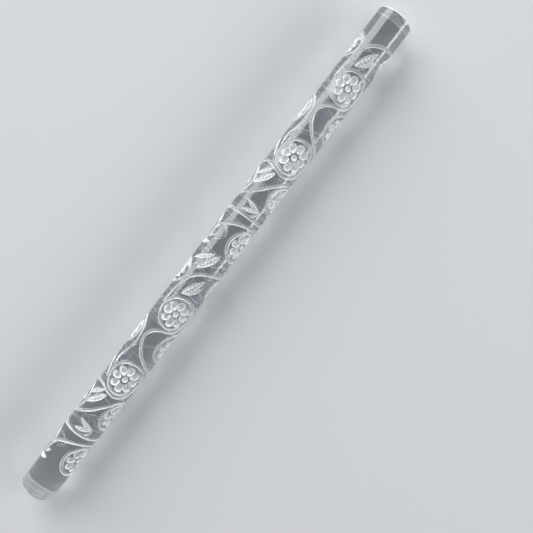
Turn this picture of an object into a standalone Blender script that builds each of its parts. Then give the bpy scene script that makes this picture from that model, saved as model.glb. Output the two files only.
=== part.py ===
"""An embossed rolling pin: one solid clear acrylic rod, engraved with daisies in a spiral vine.

Lengths are in metres and +Z is up. The rod lies along X with its lowest line at z = 0 and the middle
of its length at x = 0. The ornament is drawn on a flat sheet, as it would be on the unrolled rod, and
its cutters are then wrapped round the rod and cut out of it. On the sheet, x runs along the rod, y runs
round it towards +Y from the top line, and z is the height over the rod's surface.
"""

import math

import bmesh
import bpy

# The rod, and the fine bevel on the edges of its ends
pin_length = 0.330
pin_diameter = 0.0208
end_bevel = 0.0005
rod_sides = 24
bevel_segments = 1

# The smooth stretch that each end keeps, as a place to hold and to turn the pin, and the length in
# which the ornament between them repeats
smooth_end = 0.0165
repeat_length = 0.1521

# The engraved lines: each vine runs into a spiral loop
vine_width = 0.0015
vine_depth = 0.0009
loop_radius = 0.0112
loop_turns = 1.15
loop_points_per_turn = 16
stem_point_spacing = 0.0055

# The daisy inside each loop: hollow petals with blunt ends, round a centre that stands higher
petal_count = 8
daisy_radius = 0.0076
petal_depth = 0.0007
daisy_centre_depth = 0.00015

# The leaves
leaf_length = 0.0140
leaf_width = 0.0042
leaf_depth = 0.0009

# How far a cutter's widest line stands over the rod's surface, and how far its top rises from there
cut_overrun = 0.0005
cut_headroom = 0.0045

# Angles in degrees. Edges sharper than sharp_angle are bevelled at the ends and look crisp elsewhere.
# Faces that meet at less than flat_angle are made one.
sharp_angle = 60
flat_angle = 12

# Shapes as shares of the sizes that they follow. A vine starts and ends fine, and is full between.
loop_inset_share = 0.24
vine_start_shares = (0.35, 0.70)
vine_end_shares = (0.80, 0.50)
petal_outline_shares = (0.55, 1.00, 1.00)
petal_low_line_share = 0.60
leaf_width_shares = (0.05, 1.00, 0.85, 0.05)

# How near two points of a cutter's mesh lie to be made one, as a share of the overrun
weld_share = 0.01

# The ornament is copied round the rod with an even spacing
copies_round = 2

# The vines of one repeat. A place is a share of the repeat's length along the rod and of the rod's
# circumference round it. The stem's points lead to the loop, which starts at the given angle on the
# sheet and winds inwards, clockwise for -1.
vines = (
    {
        "loop_place_shares": (0.085, -0.168),
        "loop_radius_share": 1.0,
        "loop_start": 0,
        "winding": -1,
        "stem_shares": ((0.085, 0.161), (0.118, 0.122), (0.141, 0.031), (0.155, -0.061)),
    },
    {
        "loop_place_shares": (0.296, -0.199),
        "loop_radius_share": 0.95,
        "loop_start": 45,
        "winding": -1,
        "stem_shares": ((0.226, 0.301), (0.236, 0.214), (0.259, 0.122), (0.286, 0.046), (0.315, -0.014)),
    },
    {
        "loop_place_shares": (0.450, -0.031),
        "loop_radius_share": 1.03,
        "loop_start": 180,
        "winding": 1,
        "stem_shares": ((0.361, 0.320), (0.381, 0.214), (0.391, 0.130), (0.383, 0.046)),
    },
    {
        "loop_place_shares": (0.617, -0.230),
        "loop_radius_share": 0.95,
        "loop_start": 270,
        "winding": 1,
        "stem_shares": ((0.466, -0.357), (0.506, -0.350), (0.545, -0.383), (0.584, -0.402)),
    },
    {
        "loop_place_shares": (0.752, -0.038),
        "loop_radius_share": 1.0,
        "loop_start": 180,
        "winding": 1,
        "stem_shares": (
            (0.417, -0.372),
            (0.453, -0.321),
            (0.486, -0.260),
            (0.512, -0.176),
            (0.535, -0.084),
            (0.558, -0.015),
            (0.591, 0.043),
            (0.627, 0.066),
            (0.657, 0.035),
        ),
    },
    {
        "loop_place_shares": (0.893, -0.275),
        "loop_radius_share": 0.74,
        "loop_start": 0,
        "winding": -1,
        "stem_shares": (
            (0.762, 0.132),
            (0.808, 0.119),
            (0.854, 0.100),
            (0.893, 0.066),
            (0.923, 0.000),
            (0.941, -0.092),
            (0.948, -0.184),
        ),
    },
)

# Stems that carry leaves and no daisy
plain_stems_shares = (
    ((0.160, 0.300), (0.175, 0.230), (0.184, 0.122), (0.187, 0.0), (0.187, -0.122), (0.185, -0.344)),
    ((0.186, 0.031), (0.194, -0.031), (0.207, -0.067), (0.223, -0.077)),
)

# Each leaf: where its root is, its heading on the sheet in degrees, and its length and width shares
leaves = (
    {"root_shares": (0.221, -0.070), "heading": 108, "length_share": 0.74, "width_share": 0.72},
    {"root_shares": (0.223, -0.070), "heading": 74, "length_share": 0.72, "width_share": 0.72},
    {"root_shares": (0.368, 0.015), "heading": 143, "length_share": 0.98, "width_share": 1.05},
    {"root_shares": (0.380, 0.054), "heading": 134, "length_share": 0.87, "width_share": 0.72},
    {"root_shares": (0.827, 0.035), "heading": -28, "length_share": 1.05, "width_share": 1.00},
    {"root_shares": (0.831, 0.008), "heading": -40, "length_share": 0.80, "width_share": 0.72},
    {"root_shares": (0.021, 0.245), "heading": -76, "length_share": 0.64, "width_share": 0.76},
    {"root_shares": (0.041, 0.222), "heading": -58, "length_share": 0.56, "width_share": 0.58},
    {"root_shares": (0.014, -0.040), "heading": 150, "length_share": 1.03, "width_share": 1.20},
    {"root_shares": (0.010, 0.008), "heading": 129, "length_share": 0.92, "width_share": 0.80},
)

# Sizes worked out from those above
pin_radius = pin_diameter / 2
circumference = math.pi * pin_diameter
ornament_start = smooth_end - pin_length / 2
ornament_end = pin_length / 2 - smooth_end
repeats_along = math.ceil((ornament_end - ornament_start) / repeat_length)
copy_spacing = circumference / copies_round


def remove_all_objects():
    """Empties the file that Blender starts with."""
    for item in list(bpy.data.objects):
        bpy.data.objects.remove(item, do_unlink=True)


def new_collection(name, parent):
    made = bpy.data.collections.new(name)
    parent.children.link(made)
    return made


def clear_acrylic():
    """The material of the whole rod."""
    material = bpy.data.materials.new("clear_acrylic")
    material.use_nodes = True
    shader = material.node_tree.nodes["Principled BSDF"]
    shader.inputs["Base Color"].default_value = (0.93, 0.96, 0.97, 1.0)
    shader.inputs["Metallic"].default_value = 0.0
    shader.inputs["Roughness"].default_value = 0.05
    shader.inputs["IOR"].default_value = 1.49
    shader.inputs["Transmission Weight"].default_value = 1.0
    return material


def make_rod(collection):
    """The bare rod: flat to flat it measures the pin's diameter, with one flat at the bottom."""
    half_facet = math.pi / rod_sides
    corner_radius = pin_radius / math.cos(half_facet)
    body = bmesh.new()
    bmesh.ops.create_cone(
        body,
        cap_ends=True,
        segments=rod_sides,
        radius1=corner_radius,
        radius2=corner_radius,
        depth=pin_length,
    )
    for vertex in body.verts:
        angle = math.atan2(vertex.co.y, vertex.co.x) + half_facet
        along = vertex.co.z
        vertex.co = (along, corner_radius * math.sin(angle), pin_radius + corner_radius * math.cos(angle))
    bmesh.ops.recalc_face_normals(body, faces=body.faces)
    mesh = bpy.data.meshes.new("engraved_rod")
    body.to_mesh(mesh)
    body.free()
    mesh.shade_smooth()
    mesh.set_sharp_from_angle(angle=math.radians(sharp_angle))
    mesh.materials.append(clear_acrylic())
    rod = bpy.data.objects.new("engraved_rod", mesh)
    collection.objects.link(rod)
    rounding = rod.modifiers.new("end_bevel", "BEVEL")
    rounding.width = end_bevel
    rounding.segments = bevel_segments
    rounding.limit_method = "ANGLE"
    rounding.angle_limit = math.radians(sharp_angle)
    return rod


def sheet_place(place_shares, repeat, copy):
    """A place of the ornament on the sheet, in metres."""
    along_share, around_share = place_shares
    along = ornament_start + (repeat + along_share) * repeat_length
    around = around_share * circumference + copy * copy_spacing
    return along, around


def wrap_round_rod(mesh):
    """Moves a mesh from the flat sheet to the rod's surface."""
    for vertex in mesh.vertices:
        along, around, height = vertex.co
        angle = around / pin_radius
        reach = pin_radius + height
        vertex.co = (along, reach * math.sin(angle), pin_radius + reach * math.cos(angle))


def finish_cutter(name, mesh, collection):
    """Wraps a cutter's mesh round the rod and puts it with the other cutters."""
    wrap_round_rod(mesh)
    cutter = bpy.data.objects.new(name, mesh)
    cutter.hide_render = True
    cutter.display_type = "WIRE"
    collection.objects.link(cutter)


def smooth_route(knots, beyond, spacing):
    """Points along a smooth curve through the knots, about one spacing apart.

    It is a Catmull-Rom curve, and it leaves the last knot towards the point beyond.
    """
    before = (2 * knots[0][0] - knots[1][0], 2 * knots[0][1] - knots[1][1])
    through = [before, *knots, beyond]
    points = []
    for a, b, c, d in zip(through, through[1:], through[2:], through[3:]):
        steps = max(1, round(math.dist(b, c) / spacing))
        for step in range(steps):
            t = step / steps
            points.append(
                tuple(
                    b[i]
                    + (c[i] - a[i]) * t / 2
                    + (2 * a[i] - 5 * b[i] + 4 * c[i] - d[i]) * t**2 / 2
                    + (3 * b[i] - a[i] - 3 * c[i] + d[i]) * t**3 / 2
                    for i in range(2)
                )
            )
    return points + [tuple(knots[-1])]


def spiral_loop(centre, radius, start, winding):
    """The points of a spiral loop on the sheet, from its outer end to its inner end."""
    count = round(loop_points_per_turn * loop_turns)
    points = []
    for i in range(count + 1):
        angle = math.radians(start) + winding * math.tau * loop_turns * i / count
        reach = radius * (1 - loop_inset_share * i / count)
        points.append((centre[0] + reach * math.cos(angle), centre[1] + reach * math.sin(angle)))
    return points


def fits(points):
    """True where points on the sheet all lie between the smooth ends."""
    return all(ornament_start <= along <= ornament_end for along, _ in points)


def groove_cutter(name, points, width, depth, width_shares, collection):
    """A groove along points on the sheet: a four-sided tube that is cut in with one edge down."""
    tube_depth = depth + cut_overrun
    tube_half_width = width / 2 * tube_depth / depth
    curve = bpy.data.curves.new(name, "CURVE")
    curve.dimensions = "3D"
    curve.twist_mode = "Z_UP"
    curve.bevel_depth = tube_half_width
    curve.bevel_resolution = 0
    curve.use_fill_caps = True
    spline = curve.splines.new("POLY")
    spline.points.add(len(points) - 1)
    for point, place, share in zip(spline.points, points, width_shares):
        point.co = (*place, 0, 1)
        point.radius = share
    drawn = bpy.data.objects.new(name, curve)
    collection.objects.link(drawn)
    graph = bpy.context.evaluated_depsgraph_get()
    mesh = bpy.data.meshes.new_from_object(drawn.evaluated_get(graph))
    bpy.data.objects.remove(drawn, do_unlink=True)
    bpy.data.curves.remove(curve)
    body = bmesh.new()
    body.from_mesh(mesh)
    bmesh.ops.remove_doubles(body, verts=body.verts, dist=cut_overrun * weld_share)
    for vertex in body.verts:
        reach = cut_headroom if vertex.co.z > 0 else tube_depth
        vertex.co.z = vertex.co.z * reach / tube_half_width + cut_overrun
    body.to_mesh(mesh)
    body.free()
    finish_cutter(name, mesh, collection)


def vine_cutter(name, points, collection):
    """A vine's groove, fine at both ends."""
    full = [1] * (len(points) - len(vine_start_shares) - len(vine_end_shares))
    width_shares = [*vine_start_shares, *full, *vine_end_shares]
    groove_cutter(name, points, vine_width, vine_depth, width_shares, collection)


def daisy_cutter(name, centre, collection):
    """A ring of joined petals: a round body of four bands whose spokes reach out in turn by the outline.

    From the pole under the centre it falls to a low line and climbs from there to the petals' edge.
    """
    spoke_count = petal_count * len(petal_outline_shares)
    rim_share = petal_low_line_share + (1 - petal_low_line_share) * (1 + cut_overrun / petal_depth)
    reach_shares_and_heights = (
        (0, -daisy_centre_depth),
        (petal_low_line_share, -petal_depth),
        (rim_share, cut_overrun),
        (petal_low_line_share, cut_headroom),
        (0, cut_headroom),
    )
    bands = len(reach_shares_and_heights) - 1
    body = bmesh.new()
    bmesh.ops.create_uvsphere(body, u_segments=spoke_count, v_segments=bands, radius=1)
    for vertex in body.verts:
        turn = math.atan2(vertex.co.y, vertex.co.x)
        spoke = round(turn / math.tau * spoke_count) % len(petal_outline_shares)
        level = round((math.asin(max(-1, min(1, vertex.co.z))) / math.pi + 1 / 2) * bands)
        reach_share, height = reach_shares_and_heights[level]
        reach = daisy_radius * reach_share * petal_outline_shares[spoke]
        vertex.co = (centre[0] + reach * math.cos(turn), centre[1] + reach * math.sin(turn), height)
    mesh = bpy.data.meshes.new(name)
    body.to_mesh(mesh)
    body.free()
    finish_cutter(name, mesh, collection)


def leaf_cutter(name, leaf, repeat, copy, collection):
    """A leaf is a short groove that swells from its root and narrows to its tip."""
    root = sheet_place(leaf["root_shares"], repeat, copy)
    heading = math.radians(leaf["heading"])
    length = leaf_length * leaf["length_share"]
    steps = len(leaf_width_shares) - 1
    points = [
        (root[0] + length * i / steps * math.cos(heading), root[1] + length * i / steps * math.sin(heading))
        for i in range(steps + 1)
    ]
    width = leaf_width * leaf["width_share"]
    if fits(points):
        groove_cutter(name, points, width, leaf_depth, leaf_width_shares, collection)


def add_flowering_vine(name, vine, repeat, copy, vine_cutters, daisy_cutters):
    """A stem that runs into its loop, and the daisy inside."""
    centre = sheet_place(vine["loop_place_shares"], repeat, copy)
    radius = loop_radius * vine["loop_radius_share"]
    loop = spiral_loop(centre, radius, vine["loop_start"], vine["winding"])
    knots = [sheet_place(place, repeat, copy) for place in vine["stem_shares"]]
    points = smooth_route([*knots, loop[0]], loop[1], stem_point_spacing) + loop[1:]
    if fits(points):
        vine_cutter(f"vine_{name}", points, vine_cutters)
        daisy_cutter(f"daisy_{name}", centre, daisy_cutters)


def add_plain_stem(name, stem_shares, repeat, copy, vine_cutters):
    """A stem without a loop, which runs straight on past its last knot."""
    knots = [sheet_place(place, repeat, copy) for place in stem_shares]
    beyond = (2 * knots[-1][0] - knots[-2][0], 2 * knots[-1][1] - knots[-2][1])
    points = smooth_route(knots, beyond, stem_point_spacing)
    if fits(points):
        vine_cutter(f"stem_{name}", points, vine_cutters)


def add_ornament(vine_cutters, daisy_cutters, leaf_cutters):
    """The cutters of every repeat along the rod and every copy round it, as far as they fit."""
    for repeat in range(repeats_along):
        for copy in range(copies_round):
            block = f"{repeat + 1}_{copy + 1}"
            for i, vine in enumerate(vines):
                add_flowering_vine(f"{block}_{i + 1}", vine, repeat, copy, vine_cutters, daisy_cutters)
            for i, stem_shares in enumerate(plain_stems_shares):
                add_plain_stem(f"{block}_{i + 1}", stem_shares, repeat, copy, vine_cutters)
            for i, leaf in enumerate(leaves):
                leaf_cutter(f"leaf_{block}_{i + 1}", leaf, repeat, copy, leaf_cutters)


def cut_with(target, cutters):
    """Takes all the cutters of a collection, and of those inside it, out of target in one go."""
    cut = target.modifiers.new(cutters.name, "BOOLEAN")
    cut.operation = "DIFFERENCE"
    cut.operand_type = "COLLECTION"
    cut.collection = cutters
    cut.solver = "EXACT"


def merge_flat_faces(target):
    """Joins the faces that the cuts split and that lie all but flat to each other."""
    merging = target.modifiers.new("merge_flat_faces", "DECIMATE")
    merging.decimate_type = "DISSOLVE"
    merging.angle_limit = math.radians(flat_angle)


def main():
    remove_all_objects()
    everything = bpy.context.scene.collection
    parts = new_collection("embossed_rolling_pin", everything)
    cutters = new_collection("ornament_cutters", everything)
    vine_cutters = new_collection("vine_cutters", cutters)
    daisy_cutters = new_collection("daisy_cutters", cutters)
    leaf_cutters = new_collection("leaf_cutters", cutters)
    rod = make_rod(parts)
    add_ornament(vine_cutters, daisy_cutters, leaf_cutters)
    cut_with(rod, cutters)
    merge_flat_faces(rod)


main()
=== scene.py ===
"""The looks of a clear acrylic embossing rolling pin, engraved with daisies in a spiral vine.

The engraving is drawn on a flat sheet, as on the unrolled pin: x runs along the pin and y runs round it
towards +Y from the top line. Its outlines are triangulated together, each point is sunk to the depth
of the cut there, and the sheet is then rolled up. Lengths are in metres, +Z is up.
"""

import math

import bmesh
import bpy
import numpy as np
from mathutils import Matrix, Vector
from mathutils.geometry import delaunay_2d_cdt


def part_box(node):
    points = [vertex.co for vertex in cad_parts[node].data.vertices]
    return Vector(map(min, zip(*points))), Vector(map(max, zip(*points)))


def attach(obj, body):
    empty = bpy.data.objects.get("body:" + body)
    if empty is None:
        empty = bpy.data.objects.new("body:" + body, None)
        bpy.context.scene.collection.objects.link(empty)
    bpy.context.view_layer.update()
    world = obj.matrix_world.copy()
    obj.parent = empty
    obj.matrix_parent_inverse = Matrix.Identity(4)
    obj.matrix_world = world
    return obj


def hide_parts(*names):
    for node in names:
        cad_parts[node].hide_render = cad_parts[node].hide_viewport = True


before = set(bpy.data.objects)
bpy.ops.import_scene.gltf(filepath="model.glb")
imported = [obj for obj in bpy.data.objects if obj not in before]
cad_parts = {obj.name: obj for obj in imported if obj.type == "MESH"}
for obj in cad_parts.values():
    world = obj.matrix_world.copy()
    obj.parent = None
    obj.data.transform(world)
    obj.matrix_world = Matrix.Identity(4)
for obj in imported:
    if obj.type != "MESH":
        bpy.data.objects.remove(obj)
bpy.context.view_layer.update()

# The rod's sizes, from the frame
low_corner, high_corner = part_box("engraved_rod")
pin_length = high_corner.x - low_corner.x
pin_radius = (high_corner.z - low_corner.z) / 2
circumference = math.tau * pin_radius
axis_height = low_corner.z + pin_radius

# The rod's ends and facets
end_bevel = 0.0005
bevel_steps = 4
rod_sides = 96
margin_sides = 2
point_spacing_along = 0.004

# The ornament's repeats
smooth_end = 0.0165
repeat_length = 0.1521
copies_round = 2

# The engraved lines
vine_width = 0.0018
vine_depth = 0.0009
loop_radius = 0.0112
loop_turns = 1.15
loop_inset_share = 0.24
route_spacing = 0.0008
taper_length = 0.006
vine_start_share = 0.30
vine_end_share = 0.45

# The daisies
petal_count = 8
petal_length = 0.0053
petal_width = 0.0039
petal_depth = 0.0009
petal_place = 0.0052
petal_egg_share = 0.30
petal_bowl_power = 3
petal_crease_share = 0.42
petal_crease_width_share = 0.16
centre_radius = 0.0016
centre_depth = 0.0007
centre_inner_share = 0.6
button_steps = 16

# The leaves
leaf_length = 0.0140
leaf_width = 0.0042
leaf_depth = 0.0008
leaf_teeth = 7
leaf_tooth_share = 0.16
leaf_belly_power = 0.85
leaf_fullness_power = 0.8
leaf_rib_share = 0.7
leaf_rib_width_share = 0.12
leaf_vein_share = 0.75
leaf_vein_slant = 0.8
leaf_wall_power = 8
leaf_end_power = 0.3
leaf_steps = 42

# Cuts shallower than this count as the uncut surface, and points this near to each other as one,
# first on the flat sheet and then on the rod. The last keeps a width that is divided by above zero.
skin = 0.000012
sheet_tolerance = 0.000001
weld_distance = 0.000002
least_width = 0.0000001

# The pin's material slots
polished_slot, cut_slot, end_slot = 0, 1, 2

# What all of the pin's materials share. In these values a pattern's scale is in cells per metre, levels
# are a part of the pattern's own range, and a bump is its height in metres.
acrylic_color = (0.97, 0.985, 1.0, 1.0)
acrylic_ior = 1.49

# The polished surface: smudges in its gloss, slow waves, and hairline scratches round and along the pin
smudge_scale = 70.0
smudge_detail = 4.0
smudge_levels = (0.42, 0.72)
polished_roughness = (0.01, 0.06)
wave_scale = 160.0
hairlines_round = {"scales": (900, 60, 60), "turn": (0, 12, 8), "patch_scale": 45.0}
hairlines_along = {"scales": (70, 1100, 1100), "turn": (0, -9, 14), "patch_scale": 38.0}
hairline_level = 0.03
hairline_patch_levels = (0.52, 0.60)
hairline_height = -0.5
polished_bump = 0.00002

# The cut surface, where depth is a share of a vine's: how clear and how rough it is from its rim down,
# how far patches and the steps that the cutter left change that, and its grit and chatter marks
clear_depths = (0.20, 0.85)
clear_by_depth = (0.0, 0.88)
clear_by_patch = (-0.10, 0.10)
clear_by_step = 0.16
clear_limits = (0.0, 0.95)
rough_by_depth = (0.36, 0.10)
rough_by_patch = (-0.07, 0.07)
patch_scale = 420.0
patch_detail = 3.0
patch_levels = (0.3, 0.7)
grit_scale = 3200.0
grit_levels = (0.35, 0.65)
grit_colors = ((0.88, 0.915, 0.97, 1.0), (0.975, 0.985, 1.0, 1.0))
chatter_scales = (1500, 500, 500)
chatter_turn = (0, 0, 25)
chatter_height = 1.6
cutter_steps = 3
step_height = 1.4
cut_bump = 0.000035

# The ground end faces, with the rings that turning leaves on them
end_clearness = 0.5
stain_scale = 260.0
stain_detail = 4.0
stain_levels = (0.35, 0.65)
ground_roughness = (0.18, 0.36)
grain_scale = 5200.0
ring_spacing = 0.0007
ring_height = 0.5
ground_bump = 0.000009

# The studio: a pale floor, a large soft lamp over the pin's +Y side, a weaker one opposite it and a dim
# room round them. Lamps point at the pin, and their power is in watts.
floor_size = 12
floor_color = (0.57, 0.58, 0.60, 1.0)
floor_roughness = 0.9
floor_specular = 0.2
key_lamp = {"name": "key", "location": (1.13, 2.81, 1.54), "size": (4.0, 2.8), "power": 227}
fill_lamp = {"name": "fill", "location": (1.20, -2.96, 1.16), "size": (3.7, 0.93), "power": 100}
room_color = (0.92, 0.96, 1.0, 1.0)
room_strength = 0.21

# The camera stands over the pin, nearer to its +X end. Lens and sensor in mm, turns in degrees.
camera_place = (0.03656, 0, 0.3349)
camera_turns = (-5.66, -1.54, -52.46)
camera_lens = 39.31
camera_sensor = 36

# The vines of one repeat: see place() for what the shares mean. The stem's points lead to the loop,
# which starts at the given angle on the sheet and winds inwards, clockwise for -1.
vines = (
    {
        "loop_place_shares": (0.085, -0.168),
        "loop_radius_share": 1.0,
        "loop_start": 0,
        "winding": -1,
        "stem_shares": ((0.085, 0.161), (0.118, 0.122), (0.141, 0.031), (0.155, -0.061)),
    },
    {
        "loop_place_shares": (0.296, -0.199),
        "loop_radius_share": 0.95,
        "loop_start": 45,
        "winding": -1,
        "stem_shares": ((0.226, 0.301), (0.236, 0.214), (0.259, 0.122), (0.286, 0.046), (0.315, -0.014)),
    },
    {
        "loop_place_shares": (0.450, -0.031),
        "loop_radius_share": 1.03,
        "loop_start": 180,
        "winding": 1,
        "stem_shares": ((0.361, 0.320), (0.381, 0.214), (0.391, 0.130), (0.383, 0.046)),
    },
    {
        "loop_place_shares": (0.617, -0.230),
        "loop_radius_share": 0.95,
        "loop_start": 270,
        "winding": 1,
        "stem_shares": ((0.466, -0.357), (0.506, -0.350), (0.545, -0.383), (0.584, -0.402)),
    },
    {
        "loop_place_shares": (0.752, -0.038),
        "loop_radius_share": 1.0,
        "loop_start": 180,
        "winding": 1,
        "stem_shares": (
            (0.417, -0.372),
            (0.453, -0.321),
            (0.486, -0.260),
            (0.512, -0.176),
            (0.535, -0.084),
            (0.558, -0.015),
            (0.591, 0.043),
            (0.627, 0.066),
            (0.657, 0.035),
        ),
    },
    {
        "loop_place_shares": (0.893, -0.275),
        "loop_radius_share": 0.74,
        "loop_start": 0,
        "winding": -1,
        "stem_shares": (
            (0.762, 0.132),
            (0.808, 0.119),
            (0.854, 0.100),
            (0.893, 0.066),
            (0.923, 0.000),
            (0.941, -0.092),
            (0.948, -0.184),
        ),
    },
)

# Stems that carry leaves and no daisy
plain_stems_shares = (
    ((0.160, 0.300), (0.175, 0.230), (0.184, 0.122), (0.187, 0.0), (0.187, -0.122), (0.185, -0.344)),
    ((0.186, 0.031), (0.194, -0.031), (0.207, -0.067), (0.223, -0.077)),
)

# Each leaf: where its root is, its heading on the sheet in degrees, and its length and width shares
leaves = (
    {"root_shares": (0.221, -0.070), "heading": 108, "length_share": 0.74, "width_share": 0.72},
    {"root_shares": (0.223, -0.070), "heading": 74, "length_share": 0.72, "width_share": 0.72},
    {"root_shares": (0.368, 0.015), "heading": 143, "length_share": 0.98, "width_share": 1.05},
    {"root_shares": (0.380, 0.054), "heading": 134, "length_share": 0.87, "width_share": 0.72},
    {"root_shares": (0.827, 0.035), "heading": -28, "length_share": 1.05, "width_share": 1.00},
    {"root_shares": (0.831, 0.008), "heading": -40, "length_share": 0.80, "width_share": 0.72},
    {"root_shares": (0.021, 0.245), "heading": -76, "length_share": 0.64, "width_share": 0.76},
    {"root_shares": (0.041, 0.222), "heading": -58, "length_share": 0.56, "width_share": 0.58},
    {"root_shares": (0.014, -0.040), "heading": 150, "length_share": 1.03, "width_share": 1.20},
    {"root_shares": (0.010, 0.008), "heading": 129, "length_share": 0.92, "width_share": 0.80},
)

ornament_start = smooth_end - pin_length / 2
ornament_end = pin_length / 2 - smooth_end
repeats_along = math.ceil((ornament_end - ornament_start) / repeat_length)


def place(shares, repeat, copy):
    """A place on the sheet: shares of the repeat's length along the pin and of its circumference."""
    along = ornament_start + (repeat + shares[0]) * repeat_length
    around = shares[1] * circumference + copy * circumference / copies_round
    return np.array((along, around))


def fits(points):
    return points[:, 0].min() >= ornament_start and points[:, 0].max() <= ornament_end


def smooth_route(knots, beyond):
    """Close points along a smooth curve (Catmull-Rom) through the knots, leaving towards beyond."""
    through = [2 * knots[0] - knots[1], *knots, beyond]
    points = []
    for a, b, c, d in zip(through, through[1:], through[2:], through[3:]):
        steps = max(1, round(math.dist(b, c) / route_spacing))
        for t in np.arange(steps) / steps:
            points.append(
                b
                + (c - a) * t / 2
                + (2 * a - 5 * b + 4 * c - d) * t**2 / 2
                + (3 * b - a - 3 * c + d) * t**3 / 2
            )
    return np.array(points + [knots[-1]])


def spiral_loop(centre, radius, start, winding):
    """The points of a spiral loop, from its outer end to its inner end."""
    count = round(math.tau * loop_turns * radius / route_spacing)
    t = np.arange(count + 1) / count
    angle = math.radians(start) + winding * math.tau * loop_turns * t
    reach = radius * (1 - loop_inset_share * t)
    return centre + np.stack((reach * np.cos(angle), reach * np.sin(angle)), axis=1)


class Groove:
    """A line cut with a round bottom, fine at both ends."""

    # Where the mesh lines along it run, as shares of half its width
    rings = (-1.0, -0.62, -0.22, 0.22, 0.62, 1.0)

    def __init__(self, points):
        self.points = points
        steps = np.linalg.norm(np.diff(points, axis=0), axis=1)
        run = np.concatenate(((0,), np.cumsum(steps)))
        opening = np.clip(run / taper_length, 0, 1)
        closing = np.clip((run[-1] - run) / taper_length, 0, 1)
        opening = vine_start_share + (1 - vine_start_share) * opening
        closing = vine_end_share + (1 - vine_end_share) * closing
        self.share = np.minimum(opening, closing)

    def lines(self):
        """The lines that its mesh follows: both rims, its walls and its bottom."""
        along = np.gradient(self.points, axis=0)
        along /= np.linalg.norm(along, axis=1)[:, None]
        across = np.stack((-along[:, 1], along[:, 0]), axis=1)
        half = (vine_width / 2 * self.share)[:, None]
        made = [self.points + across * half * ring for ring in self.rings]
        made.append(np.array([line[0] for line in made]))
        made.append(np.array([line[-1] for line in made[:-1]]))
        return made

    def depth(self, at):
        start, step = self.points[:-1], np.diff(self.points, axis=0)
        offset = at[:, None] - start[None]
        t = np.clip((offset * step).sum(2) / (step**2).sum(1), 0, 1)
        away = np.linalg.norm(offset - t[..., None] * step, axis=2)
        share = self.share[:-1] + t * np.diff(self.share)
        ratio = away / (vine_width / 2 * share)
        return (vine_depth * share * (1 - ratio**2)).clip(0).max(1)


class Petal:
    """One hollow petal: egg-shaped, widest towards its outer end, with a low crease along its middle."""

    # The mesh rings inside one another, each as a share of the petal and its number of points, and the
    # points of the line along its crease, as shares of half its length
    rings = ((1.0, 22), (0.74, 16), (0.42, 10))
    crease_points = (-0.74, -0.42, 0.0, 0.42, 0.74)

    def __init__(self, centre, turn, size):
        self.out = np.array((math.cos(turn), math.sin(turn)))
        self.side = np.array((-self.out[1], self.out[0]))
        self.size = size
        self.middle = centre + self.out * petal_place * size

    def lines(self):
        made = []
        for ring, count in self.rings:
            angle = np.arange(count + 1) % count / count * math.tau
            u, v = ring * np.cos(angle), ring * np.sin(angle)
            y = v * (1 + petal_egg_share * u) * petal_width / 2 * self.size
            x = u * petal_length / 2 * self.size
            made.append(self.middle + x[:, None] * self.out + y[:, None] * self.side)
        crease = np.array(self.crease_points)[:, None] * petal_length / 2 * self.size
        made.append(self.middle + crease * self.out)
        return made

    def depth(self, at):
        offset = at - self.middle
        u = offset @ self.out / (petal_length / 2 * self.size)
        half_width = petal_width / 2 * self.size * (1 + petal_egg_share * np.clip(u, -1, 1))
        v = offset @ self.side / half_width
        rim = math.cos(math.pi / self.rings[0][1])
        bowl = (1 - (np.hypot(u, v) / rim) ** petal_bowl_power).clip(0)
        crease = petal_crease_share * np.exp(-((v / petal_crease_width_share) ** 2))
        return petal_depth * bowl * (1 - crease)


class Button:
    """The round hollow in the middle of a daisy."""

    def __init__(self, centre, size):
        self.centre = centre
        self.radius = centre_radius * size

    def lines(self):
        angle = np.arange(button_steps + 1) % button_steps / button_steps * math.tau
        ring = np.stack((np.cos(angle), np.sin(angle)), axis=1) * self.radius
        return [self.centre + ring, self.centre + ring * centre_inner_share]

    def depth(self, at):
        rim = self.radius * math.cos(math.pi / button_steps)
        away = np.linalg.norm(at - self.centre, axis=1) / rim
        return centre_depth * (1 - away**2).clip(0)


class Leaf:
    """A leaf with a raised midrib, slanted veins and toothed edges."""

    # Where the mesh lines along it run, as shares of half its width
    rings = (-1.0, -0.88, -0.5, -0.13, 0.0, 0.13, 0.5, 0.88, 1.0)

    def __init__(self, root, heading, length, width):
        self.root = root
        self.along = np.array((math.cos(heading), math.sin(heading)))
        self.across = np.array((-self.along[1], self.along[0]))
        self.length = length
        self.half_width = width / 2

    def half_width_at(self, t):
        """Half its width, from 0 at its root to its tip, with a tooth at each vein."""
        stations = np.arange(leaf_steps + 1) / leaf_steps
        tooth = (stations * leaf_teeth) % 1.0
        swell = np.sin(math.pi * stations**leaf_belly_power).clip(0) ** leaf_fullness_power
        return np.interp(t, stations, self.half_width * swell * (1 - leaf_tooth_share * tooth))

    def lines(self):
        t = np.arange(leaf_steps + 1) / leaf_steps
        half = self.half_width_at(t)
        spine = self.root + (t * self.length)[:, None] * self.along
        return [spine + (half * ring)[:, None] * self.across for ring in self.rings]

    def depth(self, at):
        offset = at - self.root
        t = offset @ self.along / self.length
        y = offset @ self.across
        half = self.half_width_at(t)
        ratio = np.abs(y) / np.maximum(half, least_width)
        inside = (t > 0) & (t < 1) & (ratio < 1)
        rib = leaf_rib_share * np.exp(-((ratio / leaf_rib_width_share) ** 2))
        turn = math.tau * (t * leaf_teeth - leaf_vein_slant * ratio)
        vein = leaf_vein_share * (0.5 + 0.5 * np.cos(turn)) ** 2
        ends = np.sin(math.pi * np.clip(t, 0, 1)) ** leaf_end_power
        deep = (1 - ratio**leaf_wall_power) * (1 - rib) * (1 - vein) * ends
        return np.where(inside, leaf_depth * deep, 0)


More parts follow.
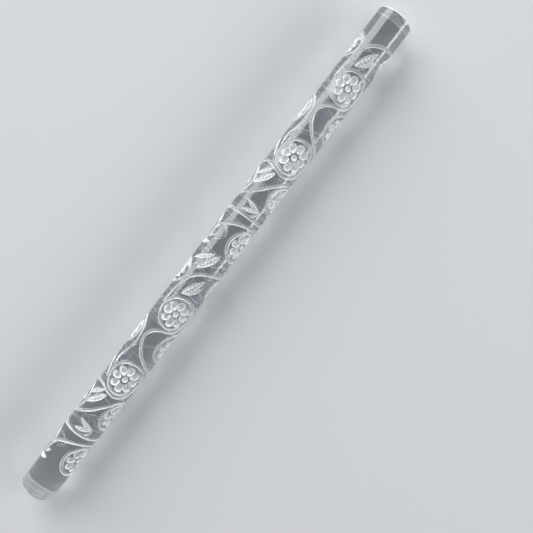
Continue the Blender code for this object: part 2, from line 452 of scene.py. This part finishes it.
def ornament():
    """Every cut on the sheet, between the smooth ends."""
    cuts = []
    for repeat in range(repeats_along):
        for copy in range(-1, copies_round + 1):
            for vine in vines:
                centre = place(vine["loop_place_shares"], repeat, copy)
                size = vine["loop_radius_share"]
                loop = spiral_loop(centre, loop_radius * size, vine["loop_start"], vine["winding"])
                knots = [place(shares, repeat, copy) for shares in vine["stem_shares"]]
                route = np.concatenate((smooth_route([*knots, loop[0]], loop[1]), loop[1:]))
                if fits(route):
                    cuts.append(Groove(route))
                    turns = math.tau * np.arange(petal_count) / petal_count
                    cuts.extend(Petal(centre, turn, size) for turn in turns)
                    cuts.append(Button(centre, size))
            for stem_shares in plain_stems_shares:
                knots = [place(shares, repeat, copy) for shares in stem_shares]
                route = smooth_route(knots, 2 * knots[-1] - knots[-2])
                if fits(route):
                    cuts.append(Groove(route))
            for leaf in leaves:
                made = Leaf(
                    place(leaf["root_shares"], repeat, copy),
                    math.radians(leaf["heading"]),
                    leaf_length * leaf["length_share"],
                    leaf_width * leaf["width_share"],
                )
                if fits(made.lines()[0]):
                    cuts.append(made)
    return cuts


def straight_lines(body_end):
    """The lines along the pin that keep its mesh round, and the two that end the sheet."""
    steps = round(2 * body_end / point_spacing_along)
    along = np.linspace(-body_end, body_end, steps + 1)
    sides = np.arange(rod_sides + 2 * margin_sides + 1) - margin_sides
    around = sides / rod_sides * circumference - circumference / 2
    made = [np.stack((along, np.full(len(along), y)), axis=1) for y in around]
    for x in (-body_end, body_end):
        made.append(np.stack((np.full(len(around), x), around), axis=1))
    return made


def triangulate(lines):
    """One flat mesh with an edge along every line."""
    points, edges = [], []
    for line in lines:
        first = len(points)
        points.extend(Vector(point) for point in line)
        edges.extend((first + i, first + i + 1) for i in range(len(line) - 1))
    points, _, faces, *_ = delaunay_2d_cdt(points, edges, [], 0, sheet_tolerance, False)
    return np.array([tuple(point) for point in points]), np.array(faces)


def cut_depths(points, cuts):
    """How deep the ornament is cut at each point of the sheet."""
    depths = np.zeros(len(points))
    for cut in cuts:
        outline = np.concatenate(cut.lines())
        low, high = outline.min(0) - skin, outline.max(0) + skin
        near = np.flatnonzero(((points >= low) & (points <= high)).all(1))
        if len(near):
            depths[near] = np.maximum(depths[near], cut.depth(points[near]))
    depths[depths < skin] = 0
    return depths


def is_round_end(face):
    """Whether it is one of the two round end faces: all others have three or four corners."""
    return len(face.verts) > 4


def make_pin():
    """The engraved rod as one closed mesh, with material slots for its cut faces and its ends."""
    body_end = pin_length / 2 - end_bevel
    cuts = ornament()
    margin = circumference / rod_sides * margin_sides
    lines = straight_lines(body_end)
    for cut in cuts:
        for line in cut.lines():
            if np.abs(line[:, 1]).min() < circumference / 2 + margin:
                lines.append(line)
    points, faces = triangulate(lines)
    middles = points[faces].mean(1)
    kept = (np.abs(middles[:, 0]) < body_end) & (np.abs(middles[:, 1]) < circumference / 2)
    faces = faces[kept]
    is_cut = cut_depths(middles[kept], cuts) > 0
    depths = cut_depths(points, cuts)
    angle = points[:, 1] / pin_radius
    reach = pin_radius - depths
    places = np.stack((points[:, 0], reach * np.sin(angle), axis_height + reach * np.cos(angle)), axis=1)
    body = bmesh.new()
    depth_layer = body.verts.layers.float.new("cut_depth")
    made = {}
    for i in np.unique(faces):
        made[i] = body.verts.new(places[i])
        made[i][depth_layer] = depths[i] / vine_depth
    for corners, cut in zip(faces, is_cut):
        face = body.faces.new([made[i] for i in corners])
        face.material_index = cut_slot if cut else polished_slot
    bmesh.ops.remove_doubles(body, verts=body.verts, dist=weld_distance)
    close_ends(body, body_end)
    bmesh.ops.recalc_face_normals(body, faces=body.faces)
    for face in body.faces:
        face.smooth = True
    for edge in body.edges:
        slots = {face.material_index for face in edge.link_faces}
        edge.smooth = len(slots) == 1 and not any(is_round_end(face) for face in edge.link_faces)
    mesh = bpy.data.meshes.new("engraved_pin")
    body.to_mesh(mesh)
    body.free()
    round_normals(mesh)
    pin = bpy.data.objects.new("engraved_pin", mesh)
    bpy.context.scene.collection.objects.link(pin)
    return pin


def close_ends(body, body_end):
    """Rounds the edges of both ends, which get the cut slot, and closes them with a flat face."""
    for side in (-1, 1):
        rims = [edge for edge in body.edges if len(edge.link_faces) == 1]
        ring = [edge for edge in rims if edge.verts[0].co.x * side > 0]
        for step in range(1, bevel_steps + 1):
            turn = math.pi / 2 * step / bevel_steps
            radius = pin_radius - end_bevel * (1 - math.cos(turn))
            x = side * (body_end + end_bevel * math.sin(turn))
            made = bmesh.ops.extrude_edge_only(body, edges=ring)["geom"]
            for vertex in (item for item in made if isinstance(item, bmesh.types.BMVert)):
                y, z = vertex.co.y, vertex.co.z - axis_height
                scale = radius / math.hypot(y, z)
                vertex.co = (x, y * scale, axis_height + z * scale)
            ring = [item for item in made if isinstance(item, bmesh.types.BMEdge)]
        bmesh.ops.holes_fill(body, edges=ring)
    for face in body.faces:
        if abs(face.calc_center_median().x) > body_end:
            face.material_index = end_slot if is_round_end(face) else cut_slot


def round_normals(mesh):
    """Makes the uncut surface shade exactly round. A zero normal leaves the corner as it is."""
    places = np.empty(len(mesh.vertices) * 3)
    mesh.vertices.foreach_get("co", places)
    radial = places.reshape(-1, 3) - (0, 0, axis_height)
    radial[:, 0] = 0
    radial /= np.maximum(np.linalg.norm(radial, axis=1), skin)[:, None]
    corners = np.empty(len(mesh.loops), dtype=np.int32)
    mesh.loops.foreach_get("vertex_index", corners)
    counts = np.empty(len(mesh.polygons), dtype=np.int32)
    mesh.polygons.foreach_get("loop_total", counts)
    slots = np.empty(len(mesh.polygons), dtype=np.int32)
    mesh.polygons.foreach_get("material_index", slots)
    polished = np.repeat(slots == polished_slot, counts)
    mesh.normals_split_custom_set(np.where(polished[:, None], radial[corners], 0).tolist())


def add_node(tree, kind, values=(), **settings):
    """A new node with its settings, and with its inputs set, or linked where a value is a socket."""
    node = tree.nodes.new(kind)
    for name, setting in settings.items():
        setattr(node, name, setting)
    for name, value in dict(values).items():
        if isinstance(value, bpy.types.NodeSocket):
            tree.links.new(value, node.inputs[name])
        else:
            node.inputs[name].default_value = value
    return node


def noise(tree, place, scale, detail=2.0):
    values = {"Vector": place, "Scale": scale, "Detail": detail}
    return add_node(tree, "ShaderNodeTexNoise", values).outputs["Fac"]


def spread(tree, value, results, levels=(0.0, 1.0)):
    """Maps a value from the range of its levels to the range of results, and clamps it to that."""
    values = {
        "Value": value,
        "From Min": levels[0],
        "From Max": levels[1],
        "To Min": results[0],
        "To Max": results[1],
    }
    return add_node(tree, "ShaderNodeMapRange", values).outputs["Result"]


def calculate(tree, operation, first, second=0.0):
    node = tree.nodes.new("ShaderNodeMath")
    node.operation = operation
    for socket, value in zip(node.inputs, (first, second)):
        if isinstance(value, bpy.types.NodeSocket):
            tree.links.new(value, socket)
        else:
            socket.default_value = value
    return node.outputs["Value"]


def stretched(tree, place, scales, turn=(0, 0, 0)):
    """The place with its axes scaled, for marks that are much longer than wide."""
    values = {"Vector": place, "Scale": scales, "Rotation": [math.radians(angle) for angle in turn]}
    return add_node(tree, "ShaderNodeMapping", values).outputs["Vector"]


def bump(tree, height, distance):
    values = {"Height": height, "Distance": distance, "Strength": 1.0}
    return add_node(tree, "ShaderNodeBump", values).outputs["Normal"]


def acrylic(name):
    """Clear acrylic, with its shader and the place on the object for its patterns."""
    material = bpy.data.materials.new(name)
    material.use_nodes = True
    tree = material.node_tree
    shader = tree.nodes["Principled BSDF"]
    shader.inputs["Base Color"].default_value = acrylic_color
    shader.inputs["IOR"].default_value = acrylic_ior
    shader.inputs["Transmission Weight"].default_value = 1.0
    place = add_node(tree, "ShaderNodeTexCoord").outputs["Object"]
    return material, tree, shader, place


def scratches(tree, place, scales, turn, patch_scale):
    """Sparse hairlines: the thin band where a stretched noise passes its middle, inside patches."""
    lines = noise(tree, stretched(tree, place, scales, turn), 1.0, 1.0)
    off_middle = calculate(tree, "ABSOLUTE", calculate(tree, "SUBTRACT", lines, 0.5))
    thin = spread(tree, off_middle, (1.0, 0.0), (0.0, hairline_level))
    patch = spread(tree, noise(tree, place, patch_scale), (0.0, 1.0), hairline_patch_levels)
    return calculate(tree, "MULTIPLY", thin, patch)


def polished_acrylic():
    """The smooth surface: faint smudges in its gloss, slow waves and fine scratches from use."""
    material, tree, shader, place = acrylic("polished_acrylic")
    smudges = noise(tree, place, smudge_scale, smudge_detail)
    roughness = spread(tree, smudges, polished_roughness, smudge_levels)
    tree.links.new(roughness, shader.inputs["Roughness"])
    marks = calculate(
        tree,
        "ADD",
        scratches(tree, place, **hairlines_round),
        scratches(tree, place, **hairlines_along),
    )
    carved = calculate(tree, "MULTIPLY", marks, hairline_height)
    height = calculate(tree, "ADD", carved, noise(tree, place, wave_scale))
    tree.links.new(bump(tree, height, polished_bump), shader.inputs["Normal"])
    return material


def cut_acrylic():
    """The engraving: frosted along its rims and clearer at its bottom, with the cutter's marks."""
    material, tree, shader, place = acrylic("cut_acrylic")
    depth = add_node(tree, "ShaderNodeAttribute", attribute_name="cut_depth").outputs["Fac"]
    patches = noise(tree, place, patch_scale, patch_detail)
    grit = noise(tree, place, grit_scale)
    phase = calculate(tree, "ADD", calculate(tree, "MULTIPLY", depth, math.tau * cutter_steps), patches)
    steps = calculate(tree, "SINE", phase)
    clear = spread(tree, depth, clear_by_depth, clear_depths)
    clear = calculate(tree, "ADD", clear, spread(tree, patches, clear_by_patch, patch_levels))
    clear = calculate(tree, "ADD", clear, calculate(tree, "MULTIPLY", steps, clear_by_step))
    clear = spread(tree, clear, clear_limits, clear_limits)
    tree.links.new(clear, shader.inputs["Transmission Weight"])
    rough = calculate(
        tree,
        "ADD",
        spread(tree, depth, rough_by_depth),
        spread(tree, patches, rough_by_patch, patch_levels),
    )
    tree.links.new(rough, shader.inputs["Roughness"])
    share = spread(tree, grit, (0.0, 1.0), grit_levels)
    colors = {"Factor": share, "A": grit_colors[0], "B": grit_colors[1]}
    tint = add_node(tree, "ShaderNodeMix", colors, data_type="RGBA")
    tree.links.new(tint.outputs["Result"], shader.inputs["Base Color"])
    chatter = noise(tree, stretched(tree, place, chatter_scales, chatter_turn), 1.0)
    height = calculate(tree, "ADD", grit, calculate(tree, "MULTIPLY", chatter, chatter_height))
    height = calculate(tree, "ADD", height, calculate(tree, "MULTIPLY", steps, step_height))
    tree.links.new(bump(tree, height, cut_bump), shader.inputs["Normal"])
    return material


def from_axis(tree, place):
    """How far a place is from the rod's axis."""
    centred = add_node(
        tree,
        "ShaderNodeVectorMath",
        {0: place, 1: (0, 0, axis_height)},
        operation="SUBTRACT",
    )
    flat = add_node(
        tree,
        "ShaderNodeVectorMath",
        {0: centred.outputs["Vector"], 1: (0, 1, 1)},
        operation="MULTIPLY",
    )
    length = add_node(tree, "ShaderNodeVectorMath", {0: flat.outputs["Vector"]}, operation="LENGTH")
    return length.outputs["Value"]


def ground_acrylic():
    """The sawn and ground ends, with the fine rings that turning them leaves."""
    material, tree, shader, place = acrylic("ground_acrylic")
    shader.inputs["Transmission Weight"].default_value = end_clearness
    phase = calculate(tree, "MULTIPLY", from_axis(tree, place), math.tau / ring_spacing)
    rings = calculate(tree, "SINE", phase)
    stains = noise(tree, place, stain_scale, stain_detail)
    roughness = spread(tree, stains, ground_roughness, stain_levels)
    tree.links.new(roughness, shader.inputs["Roughness"])
    grain = noise(tree, place, grain_scale)
    height = calculate(tree, "ADD", calculate(tree, "MULTIPLY", rings, ring_height), grain)
    tree.links.new(bump(tree, height, ground_bump), shader.inputs["Normal"])
    return material


pin = make_pin()
for make_material in (polished_acrylic, cut_acrylic, ground_acrylic):
    pin.data.materials.append(make_material())

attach(pin, "root")
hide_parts("engraved_rod")


def make_floor():
    bpy.ops.mesh.primitive_plane_add(size=floor_size, location=(0, 0, low_corner.z))
    floor = bpy.context.object
    floor.name = "floor"
    material = bpy.data.materials.new("pale_floor")
    material.use_nodes = True
    shader = material.node_tree.nodes["Principled BSDF"]
    shader.inputs["Base Color"].default_value = floor_color
    shader.inputs["Roughness"].default_value = floor_roughness
    shader.inputs["Specular IOR Level"].default_value = floor_specular
    floor.data.materials.append(material)


def make_camera():
    camera = bpy.data.cameras.new("camera")
    camera.sensor_width = camera_sensor
    camera.lens = camera_lens
    holder = bpy.data.objects.new("camera", camera)
    holder.location = camera_place
    holder.rotation_euler = [math.radians(angle) for angle in camera_turns]
    bpy.context.scene.collection.objects.link(holder)
    bpy.context.scene.camera = holder


def area_light(name, location, size, power):
    """A rectangular lamp that points at the pin and isn't seen by the camera itself."""
    light = bpy.data.lights.new(name, "AREA")
    light.shape = "RECTANGLE"
    light.size, light.size_y = size
    light.energy = power
    holder = bpy.data.objects.new(name, light)
    holder.location = location
    holder.rotation_euler = (-Vector(location)).to_track_quat("-Z", "Y").to_euler()
    holder.visible_camera = False
    bpy.context.scene.collection.objects.link(holder)


def make_lights():
    area_light(**key_lamp)
    area_light(**fill_lamp)
    world = bpy.data.worlds.new("world")
    world.use_nodes = True
    room = world.node_tree.nodes["Background"]
    room.inputs["Color"].default_value = room_color
    room.inputs["Strength"].default_value = room_strength
    bpy.context.scene.world = world


make_floor()
make_camera()
make_lights()
bpy.context.scene.view_settings.view_transform = "Standard"
